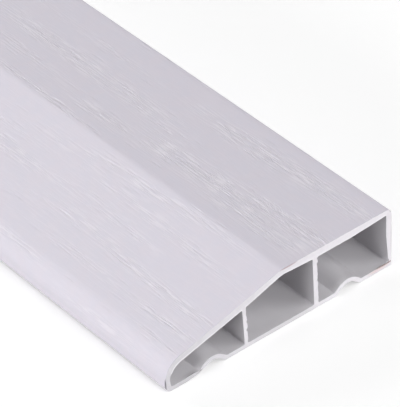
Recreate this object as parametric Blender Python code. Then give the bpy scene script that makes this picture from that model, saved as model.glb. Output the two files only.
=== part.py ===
"""A hollow door architrave, one extruded length of white plastic.

The section is drawn with its nose at the left and its thick edge at the right, flat on its back. The
face is level from the thick edge to a soft ridge, and from there it slopes down to a rounded nose. Two
webs divide the inside into three chambers that run the whole length, and two shallow arched grooves
lighten the back.
"""

import math

import bpy

# Overall size, in metres
LENGTH = 2.200
WIDTH = 0.070
THICKNESS = 0.0175

# Outside of the section, measured from the nose and from the back
FLAT_FACE_WIDTH = 0.0346
RIDGE_RADIUS = 0.0055
NOSE_SHOULDER_HEIGHT = 0.0078
NOSE_RADIUS = 0.0057
TOE_RADIUS = 0.0016
EDGE_TOP_RADIUS = 0.0016
EDGE_FOOT_RADIUS = 0.0003

# Grooves in the back, one near each side
GROOVE_INSET = 0.014
GROOVE_WIDTH = 0.0078
GROOVE_DEPTH = 0.00215
GROOVE_CREST_RADIUS = 0.0033
GROOVE_FOOT_RADIUS = 0.0008

# Walls; those of the face are measured straight down from it
BACK_WALL = 0.0012
NOSE_WALL = 0.0013
FACE_WALL_AT_NOSE = 0.0017
FACE_WALL_AT_WEBS = 0.0021
FACE_WALL_AT_RIDGE = 0.0016
FACE_WALL_AT_EDGE = 0.0014
EDGE_WALL = 0.00165
EDGE_WALL_FOOT = 0.00095
EDGE_TAPER_HEIGHT = 0.010
EDGE_TAPER_REACH = 0.013

# Webs, whose feet are set in from the nose and from the thick edge, and whose heads lean to the nose
NOSE_WEB_INSET = 0.0243
NOSE_WEB_LEAN = 0.00055
NOSE_WEB_THICKNESS = 0.0011
EDGE_WEB_INSET = 0.02395
EDGE_WEB_LEAN = 0.00035
EDGE_WEB_THICKNESS = 0.0014

# Roundings inside the chambers
CHAMBER_RADIUS = 0.0004
CHAMBER_TOE_RADIUS = 0.0009
CEILING_RADIUS = 0.006

# Largest turn between two neighbouring points of a round stretch
ARC_STEP = math.radians(6)

# Plastic, as linear colour
PLASTIC_COLOUR = (0.71, 0.69, 0.74, 1.0)
PLASTIC_ROUGHNESS = 0.45

# Places across the width that follow from the sizes
RIDGE_X = WIDTH - FLAT_FACE_WIDTH
NOSE_GROOVE_X = GROOVE_INSET
EDGE_GROOVE_X = WIDTH - GROOVE_INSET
NOSE_WEB_X = NOSE_WEB_INSET
EDGE_WEB_X = WIDTH - EDGE_WEB_INSET


def face_height(x):
    """Height of the outer face above the back, with the ridge still sharp."""
    if x >= RIDGE_X:
        return THICKNESS
    return NOSE_SHOULDER_HEIGHT + (THICKNESS - NOSE_SHOULDER_HEIGHT) * x / RIDGE_X


def groove_flank():
    """Angle of a groove's straight flanks, and the crest radius that its width and depth leave room for."""
    half = GROOVE_WIDTH / 2
    crest = min(GROOVE_CREST_RADIUS, (half**2 + GROOVE_DEPTH**2) / (2 * GROOVE_DEPTH))
    reach = math.hypot(half, crest - GROOVE_DEPTH)
    angle = math.asin(min(1.0, crest / reach)) - math.atan2(crest - GROOVE_DEPTH, half)
    return angle, crest


def arch_corners(centre_x, base_height, wall, foot_radius):
    """Corners of a groove's arch, or of the line that lies one wall above it."""
    angle, crest = groove_flank()
    half = GROOVE_WIDTH / 2 + wall * math.tan(angle / 2)
    return [
        (centre_x - half, base_height, foot_radius),
        (centre_x, base_height + half * math.tan(angle), crest + wall),
        (centre_x + half, base_height, foot_radius),
    ]


def web_side(foot_x, lean):
    """Foot and head of one side of a web, where it meets the floor and the ceiling of a chamber."""
    head_x = foot_x - lean
    return (
        (foot_x, BACK_WALL, CHAMBER_RADIUS),
        (head_x, face_height(head_x) - FACE_WALL_AT_WEBS, CHAMBER_RADIUS),
    )


def ridge_corner_between(low, high):
    """The bend of the ceiling under the ridge, for the chamber whose ceiling corners lie round it."""
    if low[0] < RIDGE_X < high[0]:
        return [(RIDGE_X, THICKNESS - FACE_WALL_AT_RIDGE, CEILING_RADIUS)]
    return []


def outside_corners():
    """Corners of the outside, from the toe along the back and home over the face."""
    return [
        (0.0, 0.0, TOE_RADIUS),
        *arch_corners(NOSE_GROOVE_X, 0.0, 0.0, GROOVE_FOOT_RADIUS),
        *arch_corners(EDGE_GROOVE_X, 0.0, 0.0, GROOVE_FOOT_RADIUS),
        (WIDTH, 0.0, EDGE_FOOT_RADIUS),
        (WIDTH, THICKNESS, EDGE_TOP_RADIUS),
        (RIDGE_X, THICKNESS, RIDGE_RADIUS),
        (0.0, NOSE_SHOULDER_HEIGHT, NOSE_RADIUS),
    ]


def nose_chamber_corners():
    """Corners of the chamber behind the nose, whose floor rises over a groove."""
    foot, head = web_side(NOSE_WEB_X - NOSE_WEB_THICKNESS / 2, NOSE_WEB_LEAN)
    nose_ceiling = face_height(NOSE_WALL) - FACE_WALL_AT_NOSE
    nose_head = (NOSE_WALL, nose_ceiling, NOSE_RADIUS - NOSE_WALL)
    return [
        (NOSE_WALL, BACK_WALL, CHAMBER_TOE_RADIUS),
        *arch_corners(NOSE_GROOVE_X, BACK_WALL, BACK_WALL, CHAMBER_RADIUS),
        foot,
        head,
        *ridge_corner_between(nose_head, head),
        nose_head,
    ]


def middle_chamber_corners():
    """Corners of the chamber between the webs, which has a flat floor."""
    nose_foot, nose_head = web_side(NOSE_WEB_X + NOSE_WEB_THICKNESS / 2, NOSE_WEB_LEAN)
    edge_foot, edge_head = web_side(EDGE_WEB_X - EDGE_WEB_THICKNESS / 2, EDGE_WEB_LEAN)
    return [
        nose_foot,
        edge_foot,
        edge_head,
        *ridge_corner_between(nose_head, edge_head),
        nose_head,
    ]


def edge_chamber_corners():
    """Corners of the chamber at the thick edge, whose edge wall thins towards the back."""
    foot, head = web_side(EDGE_WEB_X + EDGE_WEB_THICKNESS / 2, EDGE_WEB_LEAN)
    taper_x = WIDTH - EDGE_TAPER_REACH
    taper_start = (taper_x, face_height(taper_x) - FACE_WALL_AT_WEBS, CEILING_RADIUS)
    return [
        foot,
        *arch_corners(EDGE_GROOVE_X, BACK_WALL, BACK_WALL, CHAMBER_RADIUS),
        (WIDTH - EDGE_WALL_FOOT, BACK_WALL, CHAMBER_RADIUS),
        (WIDTH - EDGE_WALL, EDGE_TAPER_HEIGHT, CEILING_RADIUS),
        (WIDTH - EDGE_WALL, THICKNESS - FACE_WALL_AT_EDGE, CHAMBER_RADIUS),
        taper_start,
        *ridge_corner_between(head, taper_start),
        head,
    ]


def opening_angle(before, corner, after):
    """Angle from the side that leaves a corner to the side that reaches it, between -pi and pi."""
    bearing_before = math.atan2(before[1] - corner[1], before[0] - corner[0])
    bearing_after = math.atan2(after[1] - corner[1], after[0] - corner[0])
    return (bearing_before - bearing_after + math.pi) % math.tau - math.pi


def touch_length(before, corner, after):
    """Distance from a corner to where an arc of the corner's radius touches its two sides."""
    return corner[2] / math.tan(abs(opening_angle(before, corner, after)) / 2)


def share_of_side(side_length, touch, neighbour_touch):
    """Part of its touch length that an arc may keep on a side that it shares with its neighbour."""
    return min(1.0, side_length / max(side_length, touch + neighbour_touch))


def rounded_corner(before, corner, after, touch):
    """Points of one corner of an outline, rounded by an arc that touches both of its sides."""
    x, z, _ = corner
    opening = opening_angle(before, corner, after)
    half_opening = abs(opening) / 2
    turn = math.pi - 2 * half_opening
    if touch <= 0:
        return [(x, z)]

    radius = touch * math.tan(half_opening)
    middle = math.atan2(after[1] - z, after[0] - x) + opening / 2
    centre_x = x + radius / math.sin(half_opening) * math.cos(middle)
    centre_z = z + radius / math.sin(half_opening) * math.sin(middle)
    steps = max(2, math.ceil(turn / ARC_STEP))
    side = math.copysign(1.0, opening)
    start = middle + math.pi - side * turn / 2
    return [
        (
            centre_x + radius * math.cos(start + side * turn * step / steps),
            centre_z + radius * math.sin(start + side * turn * step / steps),
        )
        for step in range(steps + 1)
    ]


def rounded_outline(corners):
    """Points of a closed outline, given its corners as x, height and radius."""
    nexts = corners[1:] + corners[:1]
    trios = list(zip(corners[-1:] + corners[:-1], corners, nexts))
    touches = [touch_length(*trio) for trio in trios]
    shares = [
        share_of_side(math.dist(corner[:2], after[:2]), touch, next_touch)
        for corner, after, touch, next_touch in zip(
            corners, nexts, touches, touches[1:] + touches[:1]
        )
    ]
    points = []
    for index, trio in enumerate(trios):
        touch = touches[index] * min(shares[index - 1], shares[index])
        points += rounded_corner(*trio, touch)
    return points


def add_outline(curve, corners):
    """Add a closed outline to the section, centred on the width."""
    points = rounded_outline(corners)
    spline = curve.splines.new("POLY")
    spline.points.add(len(points) - 1)
    for target, (x, z) in zip(spline.points, points):
        target.co = (x - WIDTH / 2, z, 0.0, 1.0)
    spline.use_cyclic_u = True


def make_plastic():
    """Satin white plastic with a faint cool tint."""
    plastic = bpy.data.materials.new("white_plastic")
    plastic.use_nodes = True
    shader = plastic.node_tree.nodes["Principled BSDF"]
    shader.inputs["Base Color"].default_value = PLASTIC_COLOUR
    shader.inputs["Roughness"].default_value = PLASTIC_ROUGHNESS
    shader.inputs["Metallic"].default_value = 0.0
    return plastic


def make_profile(collection, material):
    """Extrude the section along the length, with the back on the ground."""
    curve = bpy.data.curves.new("architrave_section", "CURVE")
    curve.dimensions = "2D"
    curve.fill_mode = "BOTH"
    curve.extrude = LENGTH / 2
    add_outline(curve, outside_corners())
    add_outline(curve, nose_chamber_corners())
    add_outline(curve, middle_chamber_corners())
    add_outline(curve, edge_chamber_corners())
    curve.materials.append(material)

    profile = bpy.data.objects.new("architrave_profile", curve)
    profile.rotation_euler = (math.pi / 2, 0.0, 0.0)
    collection.objects.link(profile)
    return profile


def main():
    for old in list(bpy.data.objects):
        bpy.data.objects.remove(old, do_unlink=True)

    collection = bpy.data.collections.new("door_architrave")
    bpy.context.scene.collection.children.link(collection)
    make_profile(collection, make_plastic())


if __name__ == "__main__":
    main()
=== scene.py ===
"""Looks of a hollow door architrave: embossed white plastic, sawn ends, and a plain pale studio.

The piece is one extruded length. Its section comes from the frame, its nose points to -X, and the sawn
end that the camera sees lies at the lowest Y.
"""

import logging
import math
import random
from dataclasses import dataclass, field
from enum import Enum

import bmesh
import bpy
import numpy as np
from mathutils import Matrix, Vector, noise


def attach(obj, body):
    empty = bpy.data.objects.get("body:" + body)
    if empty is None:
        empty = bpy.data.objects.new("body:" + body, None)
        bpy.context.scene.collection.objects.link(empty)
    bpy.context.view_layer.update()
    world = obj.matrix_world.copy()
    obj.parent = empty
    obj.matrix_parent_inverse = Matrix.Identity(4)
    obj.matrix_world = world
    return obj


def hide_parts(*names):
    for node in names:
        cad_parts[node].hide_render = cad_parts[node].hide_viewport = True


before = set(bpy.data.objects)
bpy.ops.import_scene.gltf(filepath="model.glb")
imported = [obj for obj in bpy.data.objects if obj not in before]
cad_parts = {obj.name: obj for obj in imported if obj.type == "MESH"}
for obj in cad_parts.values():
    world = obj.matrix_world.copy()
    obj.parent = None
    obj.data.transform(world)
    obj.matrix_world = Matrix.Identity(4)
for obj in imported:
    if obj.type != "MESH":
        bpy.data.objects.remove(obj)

LOG = logging.getLogger("door_architrave")
MERGE_DISTANCE = 1e-6
SMALLEST_TURN = math.radians(1)
SQUARE_ON = 0.9
JUST_SHORT = 1 - 1e-9
ENDLESS = 100.0
MM = 0.001
WHITE = (1.0, 1.0, 1.0, 1.0)

Socket = bpy.types.NodeSocket
Colour = tuple[float, float, float]
Span = tuple[float, float]


def sheet_noise(across: np.ndarray, along: np.ndarray, layer: float, size: float = 1.0) -> np.ndarray:
    """Soft noise of some size, between -1 and 1, at places of a sheet that lies at one layer of it."""
    return np.array([noise.noise(Vector((u, v, layer)) / size) for u, v in zip(across, along)])


def add_object(name: str, data: bpy.types.ID) -> bpy.types.Object:
    """Make an object of its data and put it in the scene."""
    thing = bpy.data.objects.new(name, data)
    bpy.context.scene.collection.objects.link(thing)
    return thing


def add_mesh(name: str, body: bmesh.types.BMesh, materials: list[bpy.types.Material]) -> bpy.types.Object:
    """Make an object of a mesh that is ready.

    Args:
        name: Name of the object and its mesh.
        body: The mesh, which is freed.
        materials: Its materials, in the order of their slots.

    Returns:
        The object.
    """
    mesh = bpy.data.meshes.new(name)
    body.to_mesh(mesh)
    body.free()
    for material in materials:
        mesh.materials.append(material)
    return add_object(name, mesh)


class Finish(Enum):
    """Finishes of the extrusion, in the order of its material slots."""

    EMBOSSED = 0
    DRAWN = 1
    SAWN = 2
    BURR = 3


@dataclass
class Outline:
    """A closed outline of the section, as points of x and height in metres, in order."""

    points: np.ndarray

    def __post_init__(self) -> None:
        """Work out the steps between the points and the direction of the line at each of them."""
        ahead = np.roll(self.points, -1, axis=0) - self.points
        self.steps = np.hypot(ahead[:, 0], ahead[:, 1])
        self.distances = np.concatenate([[0.0], np.cumsum(self.steps)])
        self.bearings = np.arctan2(ahead[:, 1], ahead[:, 0])
        before = np.roll(self.bearings, 1)
        step_before = np.roll(self.steps, 1)
        self.turns = (self.bearings - before + math.pi) % math.tau - math.pi
        share = np.full(len(self.points), 0.5)
        share[self.steps > 2 * step_before] = 1.0
        share[step_before > 2 * self.steps] = 0.0
        self.tangents = before + self.turns * share

    def place(self, distance: np.ndarray) -> np.ndarray:
        """Find points on the smooth line through the outline's own points.

        Args:
            distance: Distances along the outline from its first point.

        Returns:
            One row of x and height for each distance.
        """
        distance = np.clip(distance, 0.0, self.distances[-1] * JUST_SHORT)
        index = np.searchsorted(self.distances, distance, side="right") - 1
        after = (index + 1) % len(self.points)
        step = self.steps[index]
        share = (distance - self.distances[index]) / step
        directions = np.stack([np.cos(self.tangents), np.sin(self.tangents)], axis=1)
        start_pull = (share**3 - 2 * share**2 + share) * step
        end_pull = (share**3 - share**2) * step
        end_share = 3 * share**2 - 2 * share**3
        return (
            self.points[index] * (1 - end_share)[:, None]
            + self.points[after] * end_share[:, None]
            + directions[index] * start_pull[:, None]
            + directions[after] * end_pull[:, None]
        )

    def sideways(self, distance: np.ndarray) -> np.ndarray:
        """Find the direction to the left of the line, seen along it.

        Args:
            distance: Distances along the outline from its first point.

        Returns:
            One unit row of x and height for each distance.
        """
        reach = 0.05 * MM
        ahead = self.place(distance + reach) - self.place(distance - reach)
        ahead /= np.hypot(ahead[:, 0], ahead[:, 1])[:, None]
        return np.stack([-ahead[:, 1], ahead[:, 0]], axis=1)

    def from_bends(self, distance: np.ndarray) -> np.ndarray:
        """Measure how far places along the outline lie from its nearest bend."""
        bends = self.distances[:-1][np.abs(self.turns) > SMALLEST_TURN]
        return np.min(np.abs(distance[:, None] - bends[None, :]), axis=1)

    def split(self, longest: float) -> np.ndarray:
        """Split every side of the outline into even steps.

        Args:
            longest: Longest step, in metres.

        Returns:
            Distances of the points from the outline's first point.
        """
        places = []
        for start, step in zip(self.distances, self.steps):
            count = max(1, math.ceil(step / longest))
            places += [start + step * part / count for part in range(count)]
        return np.array(places)


@dataclass
class Section:
    """The section of the extrusion: its outside, and its chambers from the nose to the thick edge."""

    outside: Outline
    chambers: list[Outline]
    near_y: float
    far_y: float

    @classmethod
    def read(cls, node: bpy.types.Object) -> "Section":
        """Read the section from the sawn end of a node.

        Args:
            node: Frame node of the whole extrusion.

        Returns:
            The section, whose outside starts at the toe and runs up over the nose.
        """
        solid = bmesh.new()
        solid.from_mesh(node.data)
        bmesh.ops.remove_doubles(solid, verts=solid.verts[:], dist=MERGE_DISTANCE)
        solid.normal_update()
        neighbours: dict[bmesh.types.BMVert, list[bmesh.types.BMVert]] = {}
        for edge in solid.edges:
            if sum(face.normal.y < -SQUARE_ON for face in edge.link_faces) == 1:
                for vert in edge.verts:
                    neighbours.setdefault(vert, []).append(edge.other_vert(vert))
        loops = []
        while neighbours:
            start, (vert, _) = next(iter(neighbours.items()))
            loop = [start]
            while vert is not start:
                first, second = neighbours.pop(vert)
                vert, before = (first if first is not loop[-1] else second), vert
                loop.append(before)
            neighbours.pop(start)
            loops.append(np.array([(vert.co.x, vert.co.z) for vert in loop], float))
        ends = [vert.co.y for vert in solid.verts]
        near_y, far_y = min(ends), max(ends)
        solid.free()
        outside, *chambers = sorted(loops, key=lambda points: points[:, 0].min())
        return cls(
            Outline(cls.from_the_toe(cls.turned(outside, True))),
            [Outline(cls.turned(points, False)) for points in chambers],
            near_y,
            far_y,
        )

    @staticmethod
    def turned(points: np.ndarray, clockwise: bool) -> np.ndarray:
        """Put an outline's points in order, so that its plastic grows to the left of the line.

        Args:
            points: Points of the outline, in either order.
            clockwise: Whether the line runs clockwise, seen with the nose at the left.

        Returns:
            The points in the wanted order.
        """
        ahead = np.roll(points, -1, axis=0)
        area = np.sum(points[:, 0] * ahead[:, 1] - ahead[:, 0] * points[:, 1])
        return points[::-1] if (area > 0) == clockwise else points

    @staticmethod
    def from_the_toe(points: np.ndarray) -> np.ndarray:
        """Shift the outside's clockwise points so that they start where the toe leaves the back."""
        on_back = np.where(points[:, 1] < MERGE_DISTANCE, points[:, 0], np.inf)
        return np.roll(points, -int(np.argmin(on_back)), axis=0)

    def nose_x(self) -> float:
        """Place of the nose."""
        return float(self.outside.points[:, 0].min())

    def face_length(self) -> float:
        """Length of the outside from the toe to the foot of the thick edge."""
        at_edge = self.outside.points[:, 0] > self.outside.points[:, 0].max() - MERGE_DISTANCE
        return float(self.outside.distances[np.flatnonzero(at_edge)[-1]])


@dataclass(frozen=True)
class Stream:
    """A stream of strokes that runs along the length, in millimetres over the outside.

    Across is measured from the toe, and along from the sawn end, to the middle of the stream.
    """

    across: float
    along: float
    half_length: float
    half_width: float
    strength: float
    drift: float = 0.0

    def density(self, across: np.ndarray, along: np.ndarray) -> np.ndarray:
        """How thickly this stream's strokes lie.

        Args:
            across: Distances from the toe, in millimetres.
            along: Distances from the sawn end, in millimetres.

        Returns:
            Shares between 0 and 1.
        """
        ahead = (along - self.along) / self.half_length
        aside = (across - self.across + self.drift * ahead) / self.half_width
        return self.strength * np.exp(-(aside**2) - ahead**4)


FIRST_STREAMS = (
    Stream(61.0, 96.0, 36.0, 2.6, 0.65, 0.3),
    Stream(53.0, 112.0, 16.0, 1.8, 0.45),
    Stream(53.2, 50.0, 9.0, 3.0, 0.82),
    Stream(55.2, 20.0, 27.0, 2.7, 1.00, 2.4),
    Stream(51.4, 15.0, 16.0, 1.9, 0.90, 1.8),
    Stream(50.6, 74.0, 10.0, 1.4, 0.50, 1.0),
    Stream(70.6, 28.0, 28.0, 2.6, 0.95, 1.2),
    Stream(69.5, 98.0, 20.0, 1.6, 0.40),
    Stream(45.4, 96.0, 24.0, 0.9, 1.00, -0.3),
    Stream(41.5, 38.0, 20.0, 1.4, 0.75, 1.6),
    Stream(39.0, 66.0, 15.0, 1.4, 0.48, 2.8),
    Stream(33.3, 89.0, 12.0, 1.4, 0.36, 0.8),
    Stream(28.2, 72.0, 17.0, 1.6, 0.38, 2.6),
    Stream(35.4, 32.0, 25.0, 1.8, 0.52, -1.0),
    Stream(29.5, 41.0, 9.0, 1.5, 0.40),
    Stream(23.7, 53.0, 14.0, 1.5, 0.40, 0.9),
    Stream(22.8, 31.0, 7.0, 1.3, 0.60, 0.3),
    Stream(22.1, 12.5, 12.0, 1.8, 0.72),
    Stream(10.0, 61.0, 10.0, 1.4, 0.38, -0.5),
    Stream(16.6, 39.0, 13.0, 1.4, 0.56, 0.5),
    Stream(16.1, 11.0, 12.0, 1.7, 0.78, 0.6),
    Stream(6.8, 26.0, 12.0, 1.2, 0.42),
    Stream(11.5, 8.0, 10.0, 1.2, 0.45, 0.4),
)


@dataclass(frozen=True)
class FreeStreams:
    """Streams drawn by chance for the rest of the roller's turn, in millimetres over the outside."""

    count: int = 44
    margin: float = 4.0
    start: float = 128.0
    slant_until: float = 55.0
    slant: float = 0.9
    gap: float = 12.0
    edge_from: float = 79.0
    half_lengths: Span = (9.0, 30.0)
    half_widths: Span = (1.2, 2.6)
    strengths: Span = (0.4, 0.9)
    drifts: Span = (-1.5, 2.5)

    def draw(self, chance: random.Random, across_end: float, turn: float) -> list[Stream]:
        """Draw the streams, beyond the first ones on the face, and anywhere on the thick edge.

        Args:
            chance: Source of the draws.
            across_end: Distance from the toe where the grain ends.
            turn: Length of one turn of the roller.

        Returns:
            The streams.
        """
        spans = (self.half_lengths, self.half_widths, self.strengths, self.drifts)
        streams = []
        for _ in range(self.count):
            across = chance.uniform(self.margin, across_end - self.margin)
            start = self.start - max(0.0, self.slant_until - across) * self.slant
            along = chance.uniform(start, turn - self.gap)
            if across > self.edge_from:
                along = chance.uniform(0.0, turn)
            streams.append(Stream(across, along, *(chance.uniform(*span) for span in spans)))
        return streams


@dataclass(frozen=True)
class Grain:
    """Embossed wood grain, whose pattern comes round again with each turn of the embossing roller."""

    first_streams: tuple[Stream, ...] = FIRST_STREAMS
    free_streams: FreeStreams = FreeStreams()
    roller_turn: float = 275 * MM
    lane_pitch: float = 0.58 * MM
    lane_turn: float = math.radians(20)
    half_stroke: float = 2.8 * MM
    end_narrowing: float = 0.08 * MM
    length_jitter: float = 0.8 * MM
    width_jitter: float = 0.03 * MM
    fullness: float = 1.0
    between: float = 0.50
    lean: float = 0.32
    depth: float = 0.19 * MM
    least_depth: float = 0.35
    sparse_depth: float = 0.5
    tip_jitter: float = 0.3
    wander: float = 0.8 * MM
    wander_width: float = 26 * MM
    wander_length: float = 56 * MM
    wander_layer: float = 0.5
    calm_near: float = 0.8 * MM
    calm_far: float = 8.0 * MM
    background: float = 0.10
    background_width: float = 5.0 * MM
    background_length: float = 30 * MM
    background_layer: float = 3.7
    background_gain: float = 2.0
    stream_base: float = 0.85
    stream_swing: float = 0.6
    fade_width: float = 9 * MM
    plain_edge: float = 2.0 * MM
    seed: int = 7

    def drift(self, across: np.ndarray, along: np.ndarray, from_bends: np.ndarray) -> np.ndarray:
        """Sideways drift of the grain, which dies away towards the section's bends.

        Args:
            across: Distances from the toe over the outside.
            along: Places along the length.
            from_bends: Distances from the nearest bend of the section.

        Returns:
            Drifts away from the toe, in metres.
        """
        waves = sheet_noise(across / self.wander_width, along / self.wander_length, self.wander_layer)
        share = np.clip((from_bends - self.calm_near) / (self.calm_far - self.calm_near), 0.0, 1.0)
        return self.wander * waves * share * share * (3 - 2 * share)

    def density(self, across: np.ndarray, along: np.ndarray, across_end: float) -> np.ndarray:
        """How thickly the strokes lie, from 0 in plain gaps to 1 in the middle of a stream.

        Args:
            across: Distances from the toe over the outside.
            along: Distances from the sawn end.
            across_end: Distance from the toe where the grain ends.

        Returns:
            Shares between 0 and 1.
        """
        turn = self.roller_turn / MM
        turned = np.mod(along, self.roller_turn) / MM
        chance = random.Random(self.seed)
        density = np.zeros(len(across))
        for stream in (*self.first_streams, *self.free_streams.draw(chance, across_end / MM, turn)):
            density = np.maximum(density, stream.density(across / MM, turned))
            if stream.along < 2 * stream.half_length:
                density = np.maximum(density, stream.density(across / MM, turned - turn))
        spots = (across / self.background_width, along / self.background_length)
        cloud = sheet_noise(*spots, self.background_layer)
        fading = np.clip((across_end - across) / self.fade_width, 0.0, 1.0)
        density = density * (self.stream_base + self.stream_swing * cloud)
        density += self.background * np.clip(cloud * self.background_gain, 0.0, 1.0)
        return np.clip(density, 0.0, 1.0) * fading


@dataclass(frozen=True)
class Chip:
    """A burr or a nick on a rim of the sawn end, in millimetres from the nose and from the back.

    The plastic grows by the shift, out of the outside or into a chamber; below zero it is a nick.
    """

    across: float
    height: float
    reach: float
    shift: float

    def growth(self, points: np.ndarray) -> np.ndarray:
        """How far the plastic grows at points of a rim, all in millimetres."""
        away = np.hypot(points[:, 0] - self.across, points[:, 1] - self.height) / self.reach
        return self.shift * np.clip(1.0 - away**2, 0.0, 1.0)


CHAMBER_CHIPS = (
    Chip(7.6, 1.2, 2.3, 0.20),
    Chip(10.2, 1.3, 0.5, -0.35),
    Chip(24.4, 5.2, 0.7, -0.34),
    Chip(46.5, 13.2, 0.8, -0.14),
    Chip(46.7, 8.5, 0.9, -0.17),
    Chip(46.9, 1.7, 0.6, -0.20),
    Chip(66.8, 1.2, 2.6, 0.20),
    Chip(69.1, 1.9, 0.6, -0.40),
)
OUTSIDE_CHIPS = (
    Chip(9.4, 0.0, 2.6, -0.40),
    Chip(10.5, 0.4, 1.0, -0.35),
)


@dataclass(frozen=True)
class Saw:
    """Marks of the saw at the ends: rough rims, and a thin burr that stands out under the face."""

    point_step: float = 0.4 * MM
    waviness: float = 0.03 * MM
    wave_length: float = 0.8 * MM
    wave_layer: float = 2.0 * MM
    tear: float = 0.30 * MM
    tear_length: float = 0.8 * MM
    tear_layer: float = 5.0 * MM
    tear_stretch: float = 0.3
    tear_from: float = 0.6
    tear_range: float = 0.35
    depths: tuple[float, ...] = (0.0, 0.5 * MM, 2.0 * MM, 12.0 * MM)
    shares: tuple[float, ...] = (1.0, 0.05)
    middle_stations: int = 5
    burr_height: float = 0.05 * MM
    burr_width: float = 0.30 * MM
    burr_above: float = 4.0 * MM
    burr_facing: float = -0.5
    chamber_chips: tuple[Chip, ...] = CHAMBER_CHIPS
    outside_chips: tuple[Chip, ...] = OUTSIDE_CHIPS

    def growth(self, points: np.ndarray, nose_x: float, chips: tuple[Chip, ...]) -> np.ndarray:
        """How far a rim's plastic grows by its chips, in metres, at points of x and height."""
        spots = (points - [nose_x, 0.0]) / MM
        return MM * sum((chip.growth(spots) for chip in chips), np.zeros(len(points)))

    def roughness(self, points: np.ndarray, rightward: np.ndarray) -> np.ndarray:
        """How far a rim's plastic grows by the saw's tearing, most where a wall faces the thick edge.

        Args:
            points: Rows of x and height in metres.
            rightward: How squarely the wall faces the thick edge, from -1 to 1.

        Returns:
            One growth in metres for each point.
        """
        x, height = points.T
        waves = sheet_noise(x, height, self.wave_layer, self.wave_length)
        tears = sheet_noise(x * self.tear_stretch, height, self.tear_layer, self.tear_length)
        share = np.clip((rightward - self.tear_from) / self.tear_range, 0.0, 1.0)
        return self.waviness * waves + self.tear * tears * share


@dataclass
class LaneSheet:
    """The sheet of lanes and rows that is rolled into the skin.

    Cells hold each point's lane line and row, and lines the lane lines' distances from the toe. Place is
    the layer that keeps each point's place on the unrolled outside and its grain density. The face lanes
    come first, and the others lie on the back.
    """

    cells: dict[bmesh.types.BMVert, tuple[int, int]]
    place: object
    lines: list[float]
    face_lanes: int
    rows: int


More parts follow.
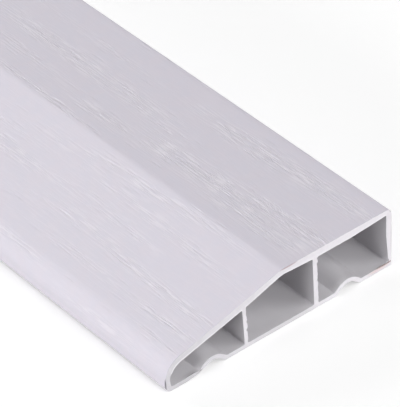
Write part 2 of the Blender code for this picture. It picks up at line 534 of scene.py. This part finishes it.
@dataclass
class Extrusion:
    """The whole architrave as one closed mesh, with grain pressed into its outside."""

    section: Section
    grain: Grain = field(default_factory=Grain)
    saw: Saw = field(default_factory=Saw)
    back_row_step: int = 24
    back_lane_pitch: float = 1.2 * MM
    plain_row_step: int = 8
    sharp_angle: float = math.radians(40)

    def lane_lines(self) -> tuple[list[float], int]:
        """Place the lines between the lanes round the outside.

        Returns:
            The lines' distances from the toe, and how many lanes lie before the back.
        """
        outside = self.section.outside
        end = self.section.face_length()
        cost = [0.0]
        place = [0.0]
        for index, step in enumerate(outside.steps):
            if outside.distances[index] >= end:
                break
            turn = abs(outside.turns[index]) / self.grain.lane_turn if index else 0.0
            cost += [cost[-1] + turn, cost[-1] + turn + step / self.grain.lane_pitch]
            place += [outside.distances[index], outside.distances[index + 1]]
        count = math.ceil(cost[-1])
        lines = list(np.interp(np.linspace(0.0, cost[-1], count + 1), cost, place))
        back = outside.split(self.back_lane_pitch)
        return lines + list(back[back > end + MERGE_DISTANCE]) + [outside.distances[-1]], count

    def make_skin(self, body: bmesh.types.BMesh) -> None:
        """Roll a sheet of lanes round the section, and press the grain into it.

        Args:
            body: Mesh that takes the skin.
        """
        lines, face_lanes = self.lane_lines()
        lanes = len(lines) - 1
        rows = round((self.section.far_y - self.section.near_y) / self.grain.half_stroke)
        place = body.verts.layers.float_vector.new("grain")
        pressed = body.faces.layers.int.new("pressed")
        verts = bmesh.ops.create_grid(body, x_segments=lanes, y_segments=rows, size=0.5)["verts"]
        cells = {vert: (round((vert.co.x + 0.5) * lanes), round((vert.co.y + 0.5) * rows)) for vert in verts}
        sheet = LaneSheet(cells, place, lines, face_lanes, rows)
        self.roll(sheet)
        strokes = self.mark_strokes(body, sheet, pressed)
        crossings = self.crossings_to_remove(body, sheet, strokes)
        seam = [vert for vert, (lane, _) in cells.items() if lane in (0, lanes)]
        bmesh.ops.dissolve_edges(body, edges=crossings, use_verts=False)
        bmesh.ops.remove_doubles(body, verts=seam, dist=MERGE_DISTANCE)
        straight = [
            vert
            for vert in body.verts
            if len(vert.link_edges) == 2
            and not vert.is_boundary
            and not any(face[pressed] for face in vert.link_faces)
        ]
        bmesh.ops.dissolve_verts(body, verts=straight)
        body.normal_update()
        self.press_strokes(body, place, [face for face in body.faces if face[pressed]])
        body.faces.layers.int.remove(pressed)
        self.chip_back(body)

    def roll(self, sheet: LaneSheet) -> None:
        """Move the flat sheet's points on to the section, with the grain's drift and unevenness.

        Args:
            sheet: The flat sheet.
        """
        grain = self.grain
        chance = random.Random(grain.seed)
        near, far = self.section.near_y, self.section.far_y
        outside = self.section.outside
        lines, rows = sheet.lines, sheet.rows
        end = lines[sheet.face_lanes]
        spots = list(sheet.cells.values())
        across = np.array([lines[lane] for lane, _ in spots])
        along = np.array([(far - near) * row / rows for _, row in spots])
        on_face = np.array([0 < lane < sheet.face_lanes for lane, _ in spots])
        for index, (lane, row) in enumerate(spots):
            if on_face[index]:
                pitch = min(lines[lane + 1] - lines[lane], lines[lane] - lines[lane - 1])
                narrowing = grain.end_narrowing if (lane + row) % 2 == 0 else -grain.end_narrowing
                shift = narrowing + chance.uniform(-1, 1) * grain.width_jitter
                across[index] += shift * pitch / grain.lane_pitch
                if 0 < row < rows:
                    along[index] += chance.uniform(-1, 1) * grain.length_jitter
        drift = grain.drift(across, along, outside.from_bends(across))
        across += np.where(on_face, drift, 0.0)
        density = grain.density(across, along, end)
        density *= np.clip(np.minimum(across, end - across) / grain.plain_edge, 0.0, 1.0)
        density = np.where(on_face, density, 0.0)
        points = outside.place(across)
        for index, vert in enumerate(sheet.cells):
            vert.co = (points[index][0], near + along[index], points[index][1])
            vert[sheet.place] = (across[index], along[index], density[index])

    def mark_strokes(self, body: bmesh.types.BMesh, sheet: LaneSheet, pressed: object) -> set:
        """Choose the cells that become strokes, by how thickly the grain lies there.

        Args:
            body: Mesh with the sheet.
            sheet: The rolled sheet.
            pressed: Layer that marks the faces of the chosen cells.

        Returns:
            Lane and middle row of each chosen cell.
        """
        chance = random.Random(self.grain.seed + 1)
        chosen = {}
        for face in body.faces:
            spots = [sheet.cells[vert] for vert in face.verts]
            lane, row = min(spots)
            on_face = lane < sheet.face_lanes
            face.smooth = True
            face.material_index = Finish.EMBOSSED.value if on_face else Finish.DRAWN.value
            middle = row if (row + lane) % 2 else row + 1
            if not on_face or not 0 < middle < sheet.rows:
                continue
            cell = (lane, middle)
            if cell not in chosen:
                density = sum(vert[sheet.place].z for vert in face.verts) / len(spots)
                share = self.grain.fullness if lane % 2 else self.grain.between
                chosen[cell] = chance.random() < share * density
            face[pressed] = chosen[cell]
        return {cell for cell, is_stroke in chosen.items() if is_stroke}

    def crossings_to_remove(self, body: bmesh.types.BMesh, sheet: LaneSheet, strokes: set) -> list:
        """Pick the crosswise edges that go, so that strokes are long cells that interlock.

        Args:
            body: Mesh with the sheet.
            sheet: The rolled sheet.
            strokes: Lane and middle row of each stroke.

        Returns:
            The edges to dissolve.
        """
        chosen = []
        for edge in body.edges:
            (lane, row), (other_lane, other_row) = (sheet.cells[vert] for vert in edge.verts)
            if row != other_row or not 0 < row < sheet.rows:
                continue
            lane = min(lane, other_lane)
            kept = row % self.back_row_step == 0
            if lane < sheet.face_lanes:
                at_stroke = (lane, row - 1) in strokes or (lane, row + 1) in strokes
                kept = (lane + row) % 2 == 0 and (at_stroke or row % self.plain_row_step < 2)
            if not kept:
                chosen.append(edge)
        return chosen

    def press_strokes(self, body: bmesh.types.BMesh, place: object, faces: list[bmesh.types.BMFace]) -> None:
        """Press a pointed pit into each stroke's cell.

        Args:
            body: Mesh with the rolled skin.
            place: Layer that keeps each point's place on the unrolled outside and its grain density.
            faces: Cells of the strokes.
        """
        grain = self.grain
        chance = random.Random(grain.seed + 2)
        for pit in bmesh.ops.poke(body, faces=faces)["verts"]:
            ring = [edge.other_vert(pit) for edge in pit.link_edges]
            middle = sum((vert[place] for vert in ring), Vector((0.0, 0.0, 0.0))) / len(ring)
            normal = sum((face.normal for face in pit.link_faces), Vector((0.0, 0.0, 0.0))).normalized()
            pit[place] = middle
            onward = Vector((normal.z, 0.0, -normal.x))
            pit.co += onward * grain.lean * grain.lane_pitch
            share = grain.sparse_depth + (1 - grain.sparse_depth) * middle.z
            pit.co -= normal * grain.depth * chance.uniform(grain.least_depth, 1.0) * share
            pit.co.y += chance.uniform(-grain.tip_jitter, grain.tip_jitter) * grain.half_stroke
            for face in pit.link_faces:
                face.smooth = False

    def chip_back(self, body: bmesh.types.BMesh) -> None:
        """Break the back's chips out of its near rim.

        Args:
            body: Mesh with the skin.
        """
        near = self.section.near_y
        for depth in self.saw.depths[1:3]:
            faces = [face for face in body.faces if face.material_index == Finish.DRAWN.value]
            edges = dict.fromkeys(edge for face in faces for edge in face.edges)
            verts = dict.fromkeys(vert for face in faces for vert in face.verts)
            around = [*verts, *edges, *faces]
            level = (0.0, near + depth, 0.0)
            bmesh.ops.bisect_plane(body, geom=around, dist=MERGE_DISTANCE, plane_co=level, plane_no=(0, 1, 0))
        body.normal_update()
        for depth, share in zip(self.saw.depths, self.saw.shares):
            ring = [vert for vert in body.verts if abs(vert.co.y - near - depth) < MERGE_DISTANCE]
            points = np.array([(vert.co.x, vert.co.z) for vert in ring])
            growth = self.saw.growth(points, self.section.nose_x(), self.saw.outside_chips)
            for vert, move in zip(ring, growth):
                direction = Vector((vert.normal.x, 0.0, vert.normal.z)).normalized()
                vert.co += direction * float(move) * share

    def make_chamber(self, body: bmesh.types.BMesh, outline: Outline) -> None:
        """Draw one chamber through the length, with torn rims at its ends.

        Args:
            body: Mesh that takes the chamber.
            outline: Outline of the chamber.
        """
        saw = self.saw
        distances = outline.split(saw.point_step)
        points = outline.place(distances)
        inward = outline.sideways(distances)
        near, far = self.section.near_y, self.section.far_y
        middle = np.linspace(near + saw.depths[-1], far - saw.depths[-1], saw.middle_stations + 2)[1:-1]
        stations = [near + depth for depth in saw.depths] + list(middle)
        stations += [far - depth for depth in reversed(saw.depths)]
        ring = [body.verts.new((x, near, height)) for x, height in points]
        edges = [body.edges.new(pair) for pair in zip(ring, ring[1:] + ring[:1])]
        rings = [ring]
        for before, station in zip(stations, stations[1:]):
            grown = bmesh.ops.extrude_edge_only(body, edges=edges)["geom"]
            fresh = {item for item in grown if isinstance(item, bmesh.types.BMVert)}
            lines = [item for item in grown if isinstance(item, bmesh.types.BMEdge)]
            edges = [edge for edge in lines if fresh.issuperset(edge.verts)]
            bmesh.ops.translate(body, verts=list(fresh), vec=(0.0, station - before, 0.0))
            ring = [self.grown_from(vert, fresh) for vert in ring]
            rings.append(ring)
            for face in (face for vert in ring for face in vert.link_faces):
                face.smooth = True
                face.material_index = Finish.DRAWN.value
        torn = saw.roughness(points, inward[:, 0])
        chipped = torn + saw.growth(points, self.section.nose_x(), saw.chamber_chips)
        for growth, end in ((chipped, rings), (torn, rings[::-1])):
            for share, ring in zip(saw.shares, end):
                for vert, (x, height) in zip(ring, inward * growth[:, None] * share):
                    vert.co += Vector((x, 0.0, height))

    @staticmethod
    def grown_from(vert: bmesh.types.BMVert, fresh: set[bmesh.types.BMVert]) -> bmesh.types.BMVert:
        """Find the new point that an extrusion grew from a point."""
        return next(edge.other_vert(vert) for edge in vert.link_edges if edge.other_vert(vert) in fresh)

    def close_ends(self, body: bmesh.types.BMesh) -> None:
        """Fill the sawn ends between the outside and the chambers.

        Args:
            body: Mesh with the skin and the chambers, open at both ends.
        """
        middle = (self.section.near_y + self.section.far_y) / 2
        for outward in (-1.0, 1.0):
            rims = [edge for edge in body.edges if edge.is_boundary]
            end = [edge for edge in rims if (edge.verts[0].co.y - middle) * outward > 0.0]
            filled = bmesh.ops.triangle_fill(body, use_beauty=True, use_dissolve=False, edges=end)
            faces = [item for item in filled["geom"] if isinstance(item, bmesh.types.BMFace)]
            for face in faces:
                face.material_index = Finish.SAWN.value
                face.smooth = False
            self.raise_burr(body, faces, outward)

    def raise_burr(self, body: bmesh.types.BMesh, faces: list[bmesh.types.BMFace], outward: float) -> None:
        """Set off a thin border round a sawn end, and raise it as a burr along the chambers' ceilings.

        Args:
            body: Mesh with the end filled.
            faces: Faces of the sawn end.
            outward: Direction along Y that points out of the end, -1 or 1.
        """
        bmesh.ops.recalc_face_normals(body, faces=body.faces[:])
        width = self.saw.burr_width
        border = bmesh.ops.inset_region(
            body, faces=faces, thickness=width, depth=0.0, use_even_offset=False, use_boundary=True
        )["faces"]
        raised = set()
        for face in border:
            for edge in face.edges:
                sides = [side for side in edge.link_faces if side.material_index == Finish.DRAWN.value]
                height = edge.verts[0].co.z
                under = bool(sides) and sides[0].normal.z < self.saw.burr_facing
                if under and height > self.saw.burr_above:
                    face.material_index = Finish.BURR.value
                    raised.update(edge.verts)
        bmesh.ops.translate(body, verts=list(raised), vec=(0.0, outward * self.saw.burr_height, 0.0))

    def build(self, materials: list[bpy.types.Material]) -> bpy.types.Object:
        """Build the extrusion.

        Args:
            materials: One material for each finish, in the finishes' order.

        Returns:
            The finished piece.
        """
        body = bmesh.new()
        self.make_skin(body)
        for chamber in self.section.chambers:
            self.make_chamber(body, chamber)
        self.close_ends(body)
        bmesh.ops.recalc_face_normals(body, faces=body.faces[:])
        for edge in body.edges:
            edge.smooth = edge.calc_face_angle(0.0) < self.sharp_angle
        open_edges = sum(not edge.is_manifold for edge in body.edges)
        triangles = sum(len(face.verts) - 2 for face in body.faces)
        LOG.info("open edges %d, triangles %d", open_edges, triangles)
        return add_mesh("architrave_extrusion", body, materials)


class NodeSheet:
    """Nodes in the making, for a material or for the surroundings."""

    def __init__(self, owner: bpy.types.ID) -> None:
        """Start on the nodes that a material or a world comes with.

        Args:
            owner: The material or world.
        """
        owner.use_nodes = True
        self.nodes = owner.node_tree.nodes
        self.links = owner.node_tree.links

    def add(self, kind: str, settings: dict | None = None, **inputs: object) -> bpy.types.Node:
        """Add a node, with its sockets set or linked.

        Args:
            kind: Node type, without its ShaderNode prefix.
            settings: Properties of the node.
            inputs: Values or output sockets for its inputs, by name with _ for a blank, or by i and number.

        Returns:
            The new node.
        """
        node = self.nodes.new("ShaderNode" + kind)
        for name, value in (settings or {}).items():
            setattr(node, name, value)
        for name, value in inputs.items():
            numbered = name[0] == "i" and name[1:].isdigit()
            self.feed(node.inputs[int(name[1:]) if numbered else name.replace("_", " ")], value)
        return node

    def feed(self, socket: Socket, value: object) -> None:
        """Set an input socket to a value, or link an output to it.

        Args:
            socket: Input socket.
            value: Value or output socket.
        """
        if isinstance(value, Socket):
            self.links.new(value, socket)
        else:
            socket.default_value = value

    def math(self, operation: str, first: object, second: object) -> Socket:
        """Sum, product or the like of two values or sockets, by the operation's name."""
        return self.add("Math", {"operation": operation}, i0=first, i1=second).outputs[0]

    def seen(self) -> Socket:
        """Give 1 for rays from the camera, from gloss and through glass, and 0 for those of the light."""
        rays = self.add("LightPath")
        seen = self.math("MAXIMUM", rays.outputs["Is Camera Ray"], rays.outputs["Is Glossy Ray"])
        return self.math("MAXIMUM", seen, rays.outputs["Is Transmission Ray"])


class MaterialSheet(NodeSheet):
    """A node material in the making, around its Principled shader."""

    spot_span: Span = (0.3, 1.0)

    def __init__(self, name: str) -> None:
        """Start a material.

        Args:
            name: Name of the material.
        """
        self.material = bpy.data.materials.new(name)
        super().__init__(self.material)
        self.shader = self.nodes["Principled BSDF"]

    def scaled(self, vector: Socket, scale: tuple[float, float, float]) -> Socket:
        """Multiply coordinates axis by axis."""
        return self.add("VectorMath", {"operation": "MULTIPLY"}, i0=vector, i1=scale).outputs[0]

    def noise(self, vector: Socket, scale: float = 1.0, detail: float = 2.0, flat: bool = False) -> Socket:
        """Noise between 0 and 1, which reads only the first two coordinates where it is flat."""
        settings = {"noise_dimensions": "2D" if flat else "3D"}
        return self.add("TexNoise", settings, Vector=vector, Scale=scale, Detail=detail).outputs["Fac"]

    def ramp(self, value: Socket, span: Span, results: Span = (0.0, 1.0)) -> Socket:
        """Soft ramp from the first result to the second over a span of the value."""
        inputs = {"i0": value, "i1": span[0], "i2": span[1], "i3": results[0], "i4": results[1]}
        return self.add("MapRange", {"interpolation_type": "SMOOTHSTEP"}, **inputs).outputs[0]

    def spot(self, coordinates: Socket, centre: tuple, reach: tuple) -> Socket:
        """Soft spot, 1 in the middle and 0 outside.

        Args:
            coordinates: Coordinates in metres.
            centre: Middle of the spot.
            reach: Half of its size along each axis.

        Returns:
            Output socket.
        """
        shifted = self.add("VectorMath", {"operation": "SUBTRACT"}, i0=coordinates, i1=centre)
        scaled = self.scaled(shifted.outputs[0], tuple(1 / size for size in reach))
        away = self.add("VectorMath", {"operation": "LENGTH"}, i0=scaled)
        return self.ramp(away.outputs["Value"], self.spot_span, (1.0, 0.0))

    def blend(self, share: Socket, first: object, second: object) -> Socket:
        """Mix of two colours.

        Args:
            share: Share of the second colour.
            first: First colour, linear, or its socket.
            second: Second colour, linear, or its socket.

        Returns:
            Output socket.
        """
        node = self.nodes.new("ShaderNodeMix")
        node.data_type = "RGBA"
        self.feed(node.inputs["Factor"], share)
        sockets = [socket for socket in node.inputs if socket.type == "RGBA"]
        for socket, colour in zip(sockets, (first, second)):
            self.feed(socket, (*colour, 1.0) if isinstance(colour, tuple) else colour)
        return next(socket for socket in node.outputs if socket.type == "RGBA")

    def dress(self, colour: Socket, roughness: object, height: Socket, depth: float) -> bpy.types.Material:
        """Feed the shader.

        Args:
            colour: Colour of the plastic.
            roughness: Roughness, or its socket.
            height: Height of the fine relief.
            depth: Metres to a unit of the height.

        Returns:
            The finished material.
        """
        bump = self.add("Bump", None, Strength=1.0, Distance=depth, Height=height)
        self.feed(self.shader.inputs["Base Color"], colour)
        self.feed(self.shader.inputs["Roughness"], roughness)
        self.feed(self.shader.inputs["Normal"], bump.outputs["Normal"])
        return self.material


@dataclass(frozen=True)
class EmbossedPlastic:
    """White plastic that left the embossing roller: satin, with fine strokes between the deep ones.

    At the near end the nose has a dark spot of painted shadow on its rim, and a thin grey line of painted
    shade runs round it.
    """

    colour: Colour = (0.672, 0.636, 0.705)
    colour_cool: Colour = (0.660, 0.633, 0.707)
    mottle_scale: float = 260.0
    mottle_span: Span = (0.35, 0.65)
    # Paler colour inside the strokes: a painted highlight of their lit walls.
    colour_stroke_highlight: Colour = (0.755, 0.722, 0.784)
    stroke_width: float = 0.40 * MM
    stroke_length: float = 6.4 * MM
    stroke_depth: float = 0.080 * MM
    stroke_span: Span = (0.42, 0.66)
    dense_span: Span = (-0.12, 0.60)
    skin_depth: float = 0.004 * MM
    skin_scale: float = 2600.0
    cloud_scale: float = 90.0
    cloud_span: Span = (0.3, 0.7)
    roughness: Span = (0.43, 0.50)
    # Painted shadow on the nose's rim at the near end, and a thin line of painted shade round it.
    colour_rim_shadow: Colour = (0.12, 0.115, 0.13)
    rim_shadow_reach: tuple = (2.6 * MM, 0.85 * MM, ENDLESS)
    rim_shadow_across: float = 3.2 * MM
    colour_line_shade: Colour = (0.56, 0.54, 0.59)
    line_shade_reach: tuple = (9.0 * MM, 0.30 * MM, ENDLESS)
    line_shade_across: float = 9.0 * MM

    def material(self) -> bpy.types.Material:
        """Make the material."""
        sheet = MaterialSheet("white_plastic_embossed")
        coordinates = sheet.add("TexCoord").outputs["Object"]
        place = sheet.add("Attribute", {"attribute_name": "grain"}).outputs["Vector"]
        density = sheet.add("SeparateXYZ", i0=place).outputs["Z"]
        stretched = sheet.scaled(place, (1 / self.stroke_width, 1 / self.stroke_length, 0.0))
        strokes = sheet.ramp(sheet.noise(stretched, detail=1.0, flat=True), self.stroke_span)
        pressed = sheet.math("MULTIPLY", strokes, sheet.ramp(density, self.dense_span))
        deep = sheet.math("MULTIPLY", pressed, -self.stroke_depth)
        shallow = sheet.math("MULTIPLY", sheet.noise(coordinates, self.skin_scale), self.skin_depth)
        height = sheet.math("ADD", deep, shallow)
        mottle = sheet.noise(coordinates, self.mottle_scale)
        colour = sheet.blend(sheet.ramp(mottle, self.mottle_span), self.colour, self.colour_cool)
        # Painted highlight: the strokes are painted paler than the skin around them.
        colour = sheet.blend(pressed, colour, self.colour_stroke_highlight)
        # Painted shade: a thin grey line round the nose at the near end.
        line = sheet.spot(place, (self.line_shade_across, 0.0, 0.0), self.line_shade_reach)
        colour = sheet.blend(line, colour, self.colour_line_shade)
        # Painted shadow: a dark spot on the nose's rim at the near end.
        rim = sheet.spot(place, (self.rim_shadow_across, 0.0, 0.0), self.rim_shadow_reach)
        colour = sheet.blend(rim, colour, self.colour_rim_shadow)
        cloud = sheet.noise(coordinates, self.cloud_scale, detail=3.0)
        gloss = sheet.ramp(cloud, self.cloud_span, self.roughness)
        return sheet.dress(colour, gloss, height, depth=1.0)


@dataclass(frozen=True)
class DrawnPlastic:
    """White plastic as it left the die: smooth, with faint lines along the length; upward faces painted paler
    as painted light, walls darker as painted shade.
    """

    # Walls are painted darker than the floors as painted shade, and the floors paler as painted light.
    colour: Colour = (0.555, 0.540, 0.565)
    colour_lit_floor: Colour = (0.700, 0.685, 0.712)
    lit_floor_span: Span = (0.3, 0.9)
    shade: float = 0.97
    shade_span: Span = (0.35, 0.65)
    shade_most: float = 0.5
    cloud_scale: float = 70.0
    cloud_span: Span = (0.3, 0.7)
    roughness: Span = (0.35, 0.43)
    line_pitch: float = 0.9 * MM
    line_breaks: float = 1.5
    line_depth: float = 0.006 * MM

    def material(self) -> bpy.types.Material:
        """Make the material."""
        sheet = MaterialSheet("white_plastic_drawn")
        places = sheet.add("TexCoord")
        coordinates = places.outputs["Object"]
        stretched = sheet.scaled(coordinates, (1 / self.line_pitch, self.line_breaks, 1 / self.line_pitch))
        lines = sheet.noise(stretched)
        cloud = sheet.noise(coordinates, self.cloud_scale)
        facing = sheet.add("SeparateXYZ", i0=places.outputs["Normal"])
        # Painted light and shade: faces that look up, the chambers' floors, get the paler colour.
        lit_upward_share = sheet.ramp(facing.outputs["Z"], self.lit_floor_span)
        colour = sheet.blend(lit_upward_share, self.colour, self.colour_lit_floor)
        shaded = tuple(part * self.shade for part in self.colour)
        share = sheet.ramp(cloud, self.shade_span, (0.0, self.shade_most))
        gloss = sheet.ramp(cloud, self.cloud_span, self.roughness)
        return sheet.dress(sheet.blend(share, colour, shaded), gloss, lines, self.line_depth)


@dataclass(frozen=True)
class StainAndShadeSpot:
    """A soft spot of another colour on the near sawn end, in millimetres from the origin; some are stains and
    some are painted shade.
    """

    x: float
    height: float
    reach_x: float
    reach_height: float
    colour: Colour


PINK = (0.78, 0.66, 0.67)
ROSE = (0.46, 0.34, 0.37)
BROWN = (0.28, 0.20, 0.19)
GREY = (0.50, 0.48, 0.50)
DULL = (0.70, 0.675, 0.705)
DULLER = (0.60, 0.582, 0.610)

NEAR_STAINS_AND_SHADE = (
    # Darker bands along the bottom of the sawn end.
    StainAndShadeSpot(1.0, 0.5, 14.0, 1.2, DULL),
    StainAndShadeSpot(-28.0, 0.5, 7.0, 1.2, DULLER),
    StainAndShadeSpot(30.8, 0.9, 4.6, 0.9, PINK),
    StainAndShadeSpot(2.4, 17.45, 4.0, 0.45, ROSE),
    # Painted shade: a dark brown line below the burr at the thick edge's chamber.
    StainAndShadeSpot(32.6, 1.30, 4.2, 0.40, BROWN),
    StainAndShadeSpot(-24.8, 1.0, 0.35, 0.8, GREY),
    StainAndShadeSpot(-29.8, 1.6, 0.35, 0.35, GREY),
    StainAndShadeSpot(12.0, 1.5, 0.30, 0.30, GREY),
    # Painted shade: grey lines along the rounded outer rim of the thick edge and at its top corner.
    StainAndShadeSpot(35.0, 9.0, 0.22, 9.5, GREY),
    StainAndShadeSpot(34.75, 16.9, 0.50, 0.60, GREY),
)


@dataclass(frozen=True)
class SawnPlastic:
    """White plastic where the saw went through: matt, with fine arcs of the blade, and painted darker towards
    the nose as painted shade.
    """

    name: str = "white_plastic_sawn"
    colour: Colour = (0.826, 0.798, 0.838)
    # Painted shade: the darker colour that the sawn end takes towards the nose.
    colour_painted_shade: Colour = (0.638, 0.620, 0.655)
    painted_shade_from_x: float = -35.0 * MM
    painted_shade_most: float = 0.85
    unshaded_from_x: float = 14.0 * MM
    web_x: float = -11.0 * MM
    web_height: float = 6.5 * MM
    web_reach: tuple = (1.1 * MM, 1.0, 6.2 * MM)
    cloud_scale: float = 420.0
    cloud_span: Span = (0.35, 0.7)
    cloud_shifts: Span = (-0.08, 0.16)
    roughness: float = 0.62
    mark_pitch: float = 0.45 * MM
    mark_stretch: float = 4.0
    mark_depth: float = 0.012 * MM
    near_y: float = -1.1
    stains_and_shade: tuple[StainAndShadeSpot, ...] = NEAR_STAINS_AND_SHADE
    patch_depth: float = 0.05

    def painted_shade_and_mottle(self, sheet: MaterialSheet, coordinates: Socket) -> Socket:
        """Share of painted shade on the sawn face, from 0 at the thick edge to nearly 1 at the nose and held
        off a spot on a web, with a random tone added.

        Args:
            sheet: Material in the making.
            coordinates: Coordinates of the object.

        Returns:
            Output socket.
        """
        across = sheet.add("SeparateXYZ", i0=coordinates).outputs["X"]
        spans = {"i1": self.painted_shade_from_x, "i2": self.unshaded_from_x, "i3": self.painted_shade_most, "i4": 0.0}
        fading = sheet.add("MapRange", None, i0=across, **spans).outputs[0]
        web = sheet.spot(coordinates, (self.web_x, self.near_y, self.web_height), self.web_reach)
        # Painted shade: the sawn end darkens towards the nose, except on a spot at a web.
        dull = sheet.math("MULTIPLY", fading, sheet.math("SUBTRACT", 1.0, web))
        cloud = sheet.noise(coordinates, self.cloud_scale, detail=3.0)
        return sheet.math("ADD", dull, sheet.ramp(cloud, self.cloud_span, self.cloud_shifts))

    def material(self) -> bpy.types.Material:
        """Make the material."""
        sheet = MaterialSheet(self.name)
        coordinates = sheet.add("TexCoord").outputs["Object"]
        scale = (1 / (self.mark_stretch * self.mark_pitch), 0.0, 1 / self.mark_pitch)
        marks = sheet.noise(sheet.scaled(coordinates, scale), detail=3.0)
        colour = sheet.blend(self.painted_shade_and_mottle(sheet, coordinates), self.colour, self.colour_painted_shade)
        for patch in self.stains_and_shade:
            centre = (patch.x * MM, self.near_y, patch.height * MM)
            reach = (patch.reach_x * MM, self.patch_depth, patch.reach_height * MM)
            colour = sheet.blend(sheet.spot(coordinates, centre, reach), colour, patch.colour)
        return sheet.dress(colour, self.roughness, marks, self.mark_depth)


# The raised burr along the ceilings is real, but its colour is kept paler and the painted shade hardly
# darkens it: partly a painted highlight of its bright line.
BURR_PLASTIC = SawnPlastic("white_plastic_burr", colour=(0.84, 0.82, 0.85), colour_painted_shade=(0.82, 0.80, 0.83))


@dataclass(frozen=True)
class StudioFloor:
    """White floor that shows plain white to the camera, apart from the object's shadow."""

    half_size: float = 8.0
    height: float = -0.2 * MM
    albedo: float = 0.45
    albedo_seen: float = 0.88
    lift: float = 0.29

    def build(self) -> None:
        """Make the floor."""
        grid = bmesh.new()
        bmesh.ops.create_grid(grid, x_segments=1, y_segments=1, size=self.half_size)
        bmesh.ops.translate(grid, verts=grid.verts[:], vec=(0.0, 0.0, self.height))
        floor = add_mesh("studio_floor", grid, [self.material()])

    def material(self) -> bpy.types.Material:
        """Make the floor's material, with its lift for the camera and for reflections only."""
        sheet = MaterialSheet("studio_white")
        sheet.nodes.remove(sheet.shader)
        seen = sheet.seen()
        grey = sheet.add("MapRange", None, i0=seen, i3=self.albedo, i4=self.albedo_seen).outputs[0]
        diffuse = sheet.add("BsdfDiffuse", None, Color=grey).outputs[0]
        lift = sheet.math("MULTIPLY", seen, self.lift)
        glow = sheet.add("Emission", None, Color=WHITE, Strength=lift).outputs[0]
        both = sheet.add("AddShader", None, i0=diffuse, i1=glow).outputs[0]
        sheet.feed(sheet.nodes["Material Output"].inputs["Surface"], both)
        return sheet.material


@dataclass(frozen=True)
class SoftLight:
    """A wide soft light far away, given by its bearing and elevation in degrees, with +Y at bearing 90."""

    name: str
    bearing: float
    elevation: float
    level: float
    softness: float

    def build(self) -> None:
        """Place the light. At level 1 a surface that faces it shows its own colour."""
        lamp = bpy.data.lights.new(self.name, "SUN")
        lamp.energy = self.level * math.pi
        lamp.angle = math.radians(self.softness)
        light = add_object(self.name, lamp)
        light.rotation_euler = (0.0, math.radians(90.0 - self.elevation), math.radians(self.bearing))


LIGHTS = (
    SoftLight("left_light", 180.0, 5.0, 1.03, 30.0),
    SoftLight("back_light", 90.0, 12.0, 0.50, 45.0),
    SoftLight("front_light", 270.0, 28.0, 0.58, 30.0),
    SoftLight("high_front_light", 270.0, 38.0, 0.06, 45.0),
    SoftLight("front_right_light", 315.0, 38.0, 0.29, 30.0),
    SoftLight("top_light", 0.0, 88.0, 0.05, 60.0),
)


@dataclass(frozen=True)
class Surroundings:
    """Even light from all round, seen as plain white."""

    level: float = 0.10

    def build(self) -> None:
        """Make the world."""
        world = bpy.data.worlds.new("studio")
        sheet = NodeSheet(world)
        strength = sheet.add("MapRange", None, i0=sheet.seen(), i3=self.level, i4=1.0).outputs[0]
        sky = sheet.nodes["Background"]
        sheet.feed(sky.inputs["Color"], WHITE)
        sheet.feed(sky.inputs["Strength"], strength)
        bpy.context.scene.world = world


@dataclass(frozen=True)
class StudioCamera:
    """Camera at the photographed angle."""

    target: tuple[float, float, float] = (0.01596, -1.05074, 0.0)
    azimuth: float = math.radians(-38.28)
    elevation: float = math.radians(38.26)
    roll: float = math.radians(-2.37)
    distance: float = 0.7982
    lens: float = 285.0
    sensor_width: float = 36.0
    clip_start: float = 0.01

    def build(self) -> None:
        """Place the camera and make it the scene's own."""
        right = Vector((math.cos(self.azimuth), math.sin(self.azimuth), 0.0))
        level = Vector((math.sin(self.azimuth), -math.cos(self.azimuth), 0.0))
        back = level * math.cos(self.elevation) + Vector((0.0, 0.0, math.sin(self.elevation)))
        up = back.cross(right)
        turned_right = right * math.cos(self.roll) + up * math.sin(self.roll)
        turned_up = up * math.cos(self.roll) - right * math.sin(self.roll)
        lens = bpy.data.cameras.new("studio_camera")
        lens.lens = self.lens
        lens.sensor_width = self.sensor_width
        lens.clip_start = self.clip_start
        camera = add_object("studio_camera", lens)
        place = Vector(self.target) + back * self.distance
        turn = Matrix((turned_right, turned_up, back)).transposed()
        camera.matrix_world = Matrix.Translation(place) @ turn.to_4x4()
        bpy.context.scene.camera = camera


def build_studio() -> None:
    """Set up the floor, the surroundings, the lights and the camera."""
    bpy.context.scene.view_settings.view_transform = "Standard"
    for part in (StudioFloor(), Surroundings(), *LIGHTS, StudioCamera()):
        part.build()


def main() -> None:
    """Build the studio and the dressed extrusion."""
    logging.basicConfig(level=logging.INFO, format="%(name)s: %(message)s")
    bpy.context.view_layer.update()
    build_studio()
    finishes = [EmbossedPlastic(), DrawnPlastic(), SawnPlastic(), BURR_PLASTIC]
    materials = [finish.material() for finish in finishes]
    extrusion = Extrusion(Section.read(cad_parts["architrave_profile"]))
    piece = extrusion.build(materials)
    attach(piece, "root")
    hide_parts("architrave_profile")
    LOG.info("%s: %d faces", piece.name, len(piece.data.polygons))


if __name__ == "__main__":
    main()
